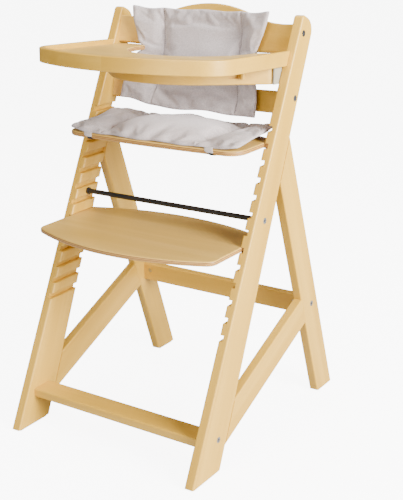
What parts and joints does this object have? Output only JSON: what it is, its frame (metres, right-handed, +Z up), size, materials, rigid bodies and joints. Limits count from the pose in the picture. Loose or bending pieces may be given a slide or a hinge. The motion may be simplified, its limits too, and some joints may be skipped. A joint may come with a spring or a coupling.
{
  "type": "baby high chair",
  "caption": "Wooden high chair with leaning grooved side frames, sliding plywood seat and footrest, bowed backrest boards, tray over a guard rail, and soft cushions.",
  "frame": {"origin": "on the floor under the middle of the chair's bounding box", "axes": "+X to the right as seen from the front, the front faces -Y, +Z up"},
  "size_m": [0.441, 0.5368, 0.811],
  "materials": {
    "beech": "satin lacquered beech",
    "plywood": "satin lacquered birch plywood",
    "dowel": "plain beech dowel",
    "black_metal": "black powder coat",
    "black_plastic": "moulded matte black",
    "grey_plastic": "moulded light grey",
    "steel": "zinc plated steel",
    "cotton": "woven cotton cover, warm grey",
    "elastic": "cotton strap with elastic",
    "glide_felt": "hard rubber glide"
  },
  "bodies": {
    "frame": {"left_post": "beech", "right_post": "beech", "left_rear_leg": "beech", "right_rear_leg": "beech", "left_brace": "beech", "right_brace": "beech", "frame_dowels": "dowel", "crossbar_dowels": "dowel", "front_crossbar": "beech", "rear_crossbar": "beech", "tie_rod": "black_metal", "tie_rod_collars": "black_plastic", "tie_rod_bolts": "steel", "upper_backrest_board": "beech", "lower_backrest_board": "beech", "guard_rail": "beech", "left_rail_bracket": "grey_plastic", "right_rail_bracket": "grey_plastic", "rail_screws": "steel", "back_cushion": "cotton", "back_cushion_straps": "elastic", "frame_bolts": "steel", "barrel_nuts": "steel", "floor_glides": "glide_felt"},
    "seat": {"seat_plate": "plywood", "seat_cushion": "cotton", "seat_cushion_straps": "elastic"},
    "footrest": {"footrest_plate": "plywood"},
    "tray": {"tray_panel": "plywood", "tray_rim": "beech", "tray_pegs": "beech"}
  },
  "joints": [
    {"name": "seat_slide", "type": "slide", "parent": "frame", "child": "seat", "axis": [0, 1, 0], "range_m": [-0.03, 0.02]},
    {"name": "footrest_slide", "type": "slide", "parent": "frame", "child": "footrest", "axis": [0, 1, 0], "range_m": [-0.02, 0.05]},
    {"name": "tray_slide", "type": "slide", "parent": "frame", "child": "tray", "axis": [0, -0.9987, 0.0506], "range_m": [0, 0.1]}
  ]
}
